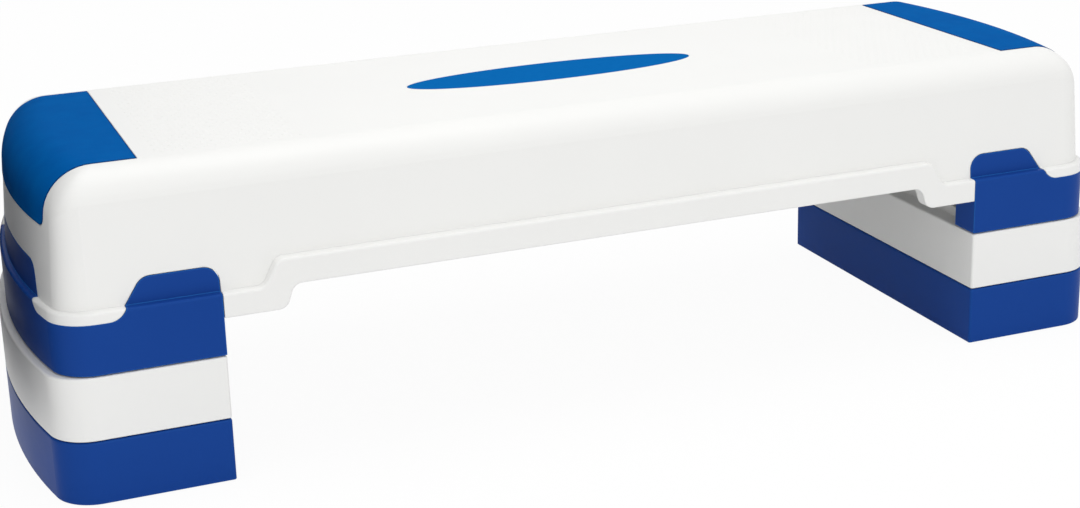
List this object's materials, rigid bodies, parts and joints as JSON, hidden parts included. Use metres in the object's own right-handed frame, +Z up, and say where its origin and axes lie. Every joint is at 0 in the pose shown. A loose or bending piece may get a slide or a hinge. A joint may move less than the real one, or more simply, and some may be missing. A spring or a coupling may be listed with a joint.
{
  "type": "aerobic step platform",
  "caption": "Long moulded exercise step with a rounded deck, end grip pads and a plain oval inlay, standing on stackable leg and riser modules that set its height.",
  "frame": {"origin": "on the floor under the centre of the deck", "axes": "+X along the length to the right, +Y to the back, +Z up"},
  "size_m": [0.933, 0.305, 0.2484],
  "materials": {
    "white_plastic": "moulded satin white polypropylene",
    "blue_plastic": "moulded satin blue polypropylene",
    "blue_rubber": "matt fine-grained blue thermoplastic rubber",
    "blue_print": "satin blue film, plain",
    "foot_rubber": "matt dark grey rubber"
  },
  "bodies": {
    "deck": {"deck": "white_plastic", "oval_inlay": "blue_print", "left_grip_pad": "blue_rubber", "right_grip_pad": "blue_rubber"},
    "left_lower_riser": {"left_lower_riser": "blue_plastic", "left_lower_foot_front_inner": "foot_rubber", "left_lower_foot_front_outer": "foot_rubber", "left_lower_foot_back_inner": "foot_rubber", "left_lower_foot_back_outer": "foot_rubber"},
    "left_middle_riser": {"left_middle_riser": "white_plastic", "left_middle_foot_front_inner": "foot_rubber", "left_middle_foot_front_outer": "foot_rubber", "left_middle_foot_back_inner": "foot_rubber", "left_middle_foot_back_outer": "foot_rubber"},
    "left_leg": {"left_leg": "blue_plastic", "left_leg_foot_front_inner": "foot_rubber", "left_leg_foot_front_outer": "foot_rubber", "left_leg_foot_back_inner": "foot_rubber", "left_leg_foot_back_outer": "foot_rubber"},
    "right_lower_riser": {"right_lower_riser": "blue_plastic", "right_lower_foot_front_inner": "foot_rubber", "right_lower_foot_front_outer": "foot_rubber", "right_lower_foot_back_inner": "foot_rubber", "right_lower_foot_back_outer": "foot_rubber"},
    "right_middle_riser": {"right_middle_riser": "white_plastic", "right_middle_foot_front_inner": "foot_rubber", "right_middle_foot_front_outer": "foot_rubber", "right_middle_foot_back_inner": "foot_rubber", "right_middle_foot_back_outer": "foot_rubber"},
    "right_leg": {"right_leg": "blue_plastic", "right_leg_foot_front_inner": "foot_rubber", "right_leg_foot_front_outer": "foot_rubber", "right_leg_foot_back_inner": "foot_rubber", "right_leg_foot_back_outer": "foot_rubber"}
  },
  "joints": [
    {"name": "left_middle_riser_lift", "type": "slide", "parent": "left_lower_riser", "child": "left_middle_riser", "axis": [0, 0, 1], "range_m": [0, 0.03]},
    {"name": "left_leg_lift", "type": "slide", "parent": "left_middle_riser", "child": "left_leg", "axis": [0, 0, 1], "range_m": [0, 0.03]},
    {"name": "deck_lift", "type": "slide", "parent": "left_leg", "child": "deck", "axis": [0, 0, 1], "range_m": [0, 0.06]},
    {"name": "right_leg_parting", "type": "slide", "parent": "deck", "child": "right_leg", "axis": [0, 0, -1], "range_m": [0, 0.06]},
    {"name": "right_middle_riser_parting", "type": "slide", "parent": "right_leg", "child": "right_middle_riser", "axis": [0, 0, -1], "range_m": [0, 0.03]},
    {"name": "right_lower_riser_parting", "type": "slide", "parent": "right_middle_riser", "child": "right_lower_riser", "axis": [0, 0, -1], "range_m": [0, 0.03]}
  ],
  "couplings": [
    {"joint": "right_leg_parting", "follows": "deck_lift", "ratio": 1},
    {"joint": "right_middle_riser_parting", "follows": "left_leg_lift", "ratio": 1},
    {"joint": "right_lower_riser_parting", "follows": "left_middle_riser_lift", "ratio": 1}
  ]
}
